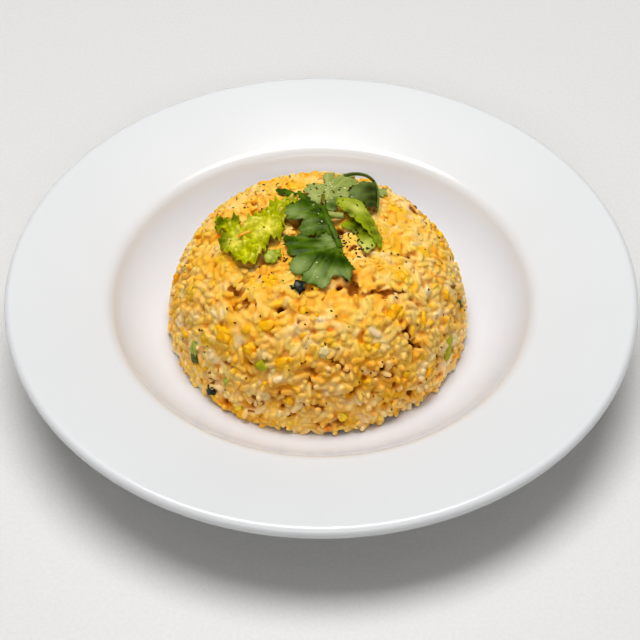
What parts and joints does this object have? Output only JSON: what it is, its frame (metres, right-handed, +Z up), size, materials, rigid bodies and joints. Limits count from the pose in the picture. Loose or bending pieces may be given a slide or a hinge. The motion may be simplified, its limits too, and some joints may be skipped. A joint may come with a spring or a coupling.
{
  "type": "fried rice plate",
  "caption": "Moulded dome of egg fried rice with a green leaf garnish, in the well of a round wide-rimmed white plate.",
  "frame": {"origin": "on the table under the middle of the plate's foot ring", "axes": "+Z up out of the plate; -Y towards the diner, where the front leaf of the garnish points; +X to the diner's right"},
  "size_m": [0.28, 0.28, 0.0715],
  "materials": {
    "porcelain": "gloss",
    "fried_rice": "satin",
    "coriander": "satin",
    "coriander_underside": "matte",
    "yellow_green_leaf": "satin",
    "bright_green_leaf": "satin",
    "stem": "satin",
    "brown_stem": "satin",
    "carrot": "satin"
  },
  "bodies": {
    "root": {"plate": "porcelain", "rice_mound": "fried_rice", "coriander_leaf_front": "coriander", "coriander_leaf_back": "coriander_underside", "coriander_leaf_curled": "coriander", "coriander_leaflet_small": "coriander", "coriander_tip_far": "coriander_underside", "frilly_leaf": "yellow_green_leaf", "folded_leaf": "bright_green_leaf", "stem_cut": "stem", "stem_brown": "brown_stem", "leaf_bit_pale": "stem", "leaf_scrap_dark": "coriander", "carrot_shred": "carrot"}
  },
  "joints": []
}
